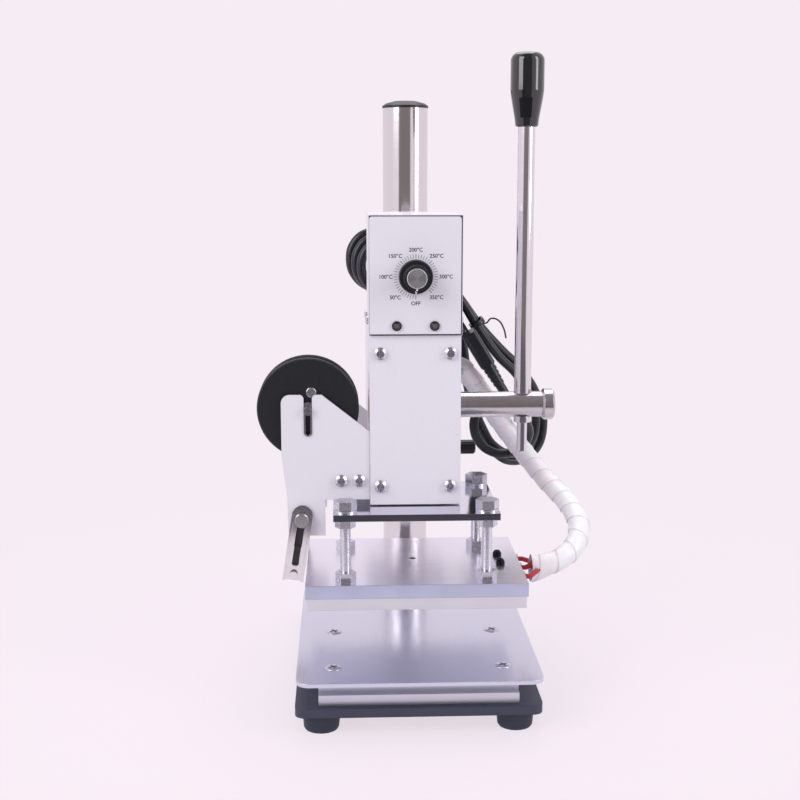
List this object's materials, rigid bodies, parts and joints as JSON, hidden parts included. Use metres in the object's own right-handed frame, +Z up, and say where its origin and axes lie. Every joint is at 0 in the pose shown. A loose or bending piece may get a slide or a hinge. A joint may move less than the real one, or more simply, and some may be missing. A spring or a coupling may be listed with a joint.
{
  "type": "hot foil stamping machine",
  "caption": "Bench hot foil stamping press: a side lever drives a heated plate down onto a flat table; column head with control box, foil reel holder and cords.",
  "frame": {"origin": "middle of the footprint on the surface the machine stands on, measured without its cords", "axes": "+X to the operator's right, towards the lever; +Y away from the operator, towards the column; +Z up"},
  "size_m": [0.2052, 0.2246, 0.387],
  "materials": {
    "base_black": "satin black powder coat",
    "foot_rubber": "matte moulded rubber",
    "zinc": "zinc plated",
    "riser_aluminium": "satin anodised",
    "table_steel": "polished steel sheet",
    "column_chrome": "hard chrome plated",
    "black_plastic": "moulded",
    "head_white": "white powder coat on aluminium",
    "bronze": "sintered bronze",
    "clamp_black": "moulded, on a steel screw",
    "sheet_white": "white powder coat on steel sheet",
    "thermostat_body": "moulded",
    "lamp_dark": "dark lens",
    "knob_aluminium": "spun",
    "bright_steel": "ground",
    "gear_steel": "machined",
    "lever_chrome": "polished",
    "grip_black": "glossy moulded",
    "plate_mirror": "polished",
    "heater_aluminium": "milled",
    "cartridge_steel": "heat tinted",
    "lead_red": "silicone",
    "screw_black": "black oxide",
    "reel_black": "moulded",
    "cord_black": "smooth PVC",
    "tie_black": "coated wire",
    "wrap_white": "translucent spiral wrap"
  },
  "bodies": {
    "base": {"base_plate": "base_black", "rubber_feet": "foot_rubber", "foot_screws": "zinc", "table_riser": "riser_aluminium", "work_table": "table_steel", "table_screws": "zinc"},
    "mast": {"column": "column_chrome", "column_cap": "black_plastic", "column_bolt": "zinc"},
    "head": {"head_body": "head_white", "front_cover": "head_white", "head_screws": "zinc", "ram_bush": "bronze", "shaft_bushes": "bronze", "box_floor": "sheet_white", "box_shell": "sheet_white", "box_screws": "zinc", "control_panel": "sheet_white", "thermostat": "thermostat_body", "indicator_lamps": "lamp_dark", "return_spring": "gear_steel", "foil_mount": "head_white", "foil_brackets": "sheet_white", "axle_saddles": "bright_steel", "cord_gland": "cord_black", "mains_cord": "cord_black", "cord_hank": "cord_black", "cord_tie": "tie_black", "mains_plug": "cord_black", "heater_cable": "wrap_white", "cable_socket": "wrap_white"},
    "platen": {"ram_rack": "bright_steel", "ram_screw": "zinc", "press_plate": "plate_mirror", "levelling_bolts": "zinc", "plate_washers": "zinc", "levelling_nuts": "zinc", "heater_block": "heater_aluminium", "heater_cartridges": "cartridge_steel", "heater_leads": "lead_red", "terminal_screws": "screw_black", "die_plate": "heater_aluminium", "die_screws": "zinc"},
    "lever": {"pinion_shaft": "bright_steel", "pinion_gear": "gear_steel", "shaft_collar": "gear_steel", "lever_rod": "lever_chrome", "lever_nut": "lever_chrome", "lever_grip": "grip_black", "shaft_end_cap": "bright_steel"},
    "knob": {"thermostat_spindle": "zinc", "knob_skirt": "black_plastic", "knob_cap": "knob_aluminium"},
    "clamp": {"clamp_screw": "clamp_black"},
    "reel": {"reel_axle": "bright_steel", "reel_flange_front": "reel_black"},
    "rear_flange": {"reel_flange_rear": "reel_black"},
    "guide_pivot": {"guide_screws": "bright_steel"},
    "guide": {"guide_arms": "bright_steel", "guide_rod": "bright_steel"}
  },
  "joints": [
    {"name": "head_swivel", "type": "hinge", "parent": "base", "child": "mast", "pos_m": [0.00175, 0.0823, 0], "axis": [0, 0, 1], "range_deg": [-30, 30]},
    {"name": "head_slide", "type": "slide", "parent": "mast", "child": "head", "axis": [0, 0, 1], "range_m": [0, 0.08]},
    {"name": "ram_slide", "type": "slide", "parent": "head", "child": "platen", "axis": [0, 0, -1], "range_m": [0, 0.025], "stiffness_N_per_m": 700, "springref_m": -0.05, "deforming": ["heater_cable"]},
    {"name": "lever_turn", "type": "hinge", "parent": "head", "child": "lever", "pos_m": [0.00175, 0.0013, 0.1726], "axis": [1, 0, 0], "range_deg": [0, 95.6]},
    {"name": "dial_turn", "type": "hinge", "parent": "head", "child": "knob", "pos_m": [0.00175, -0.06, 0.2566], "axis": [0, 1, 0], "range_deg": [0, 315]},
    {"name": "clamp_turn", "type": "hinge", "parent": "head", "child": "clamp", "pos_m": [0.03, 0.0823, 0.1285], "axis": [1, 0, 0], "range_deg": [0, 270]},
    {"name": "reel_spin", "type": "hinge", "parent": "head", "child": "reel", "pos_m": [-0.06125, -0.0257, 0.179], "axis": [0, 1, 0], "continuous": true},
    {"name": "flange_slide", "type": "slide", "parent": "reel", "child": "rear_flange", "axis": [0, 1, 0], "range_m": [0, 0.042]},
    {"name": "guide_swing", "type": "hinge", "parent": "head", "child": "guide_pivot", "pos_m": [-0.06555, -0.0257, 0.113], "axis": [0, 1, 0], "range_deg": [0, 60]},
    {"name": "guide_lift", "type": "slide", "parent": "guide_pivot", "child": "guide", "axis": [0.1547, 0, 0.988], "range_m": [0, 0.014]}
  ],
  "couplings": [
    {"joint": "lever_turn", "follows": "ram_slide", "rad_per_m": 66.667}
  ]
}
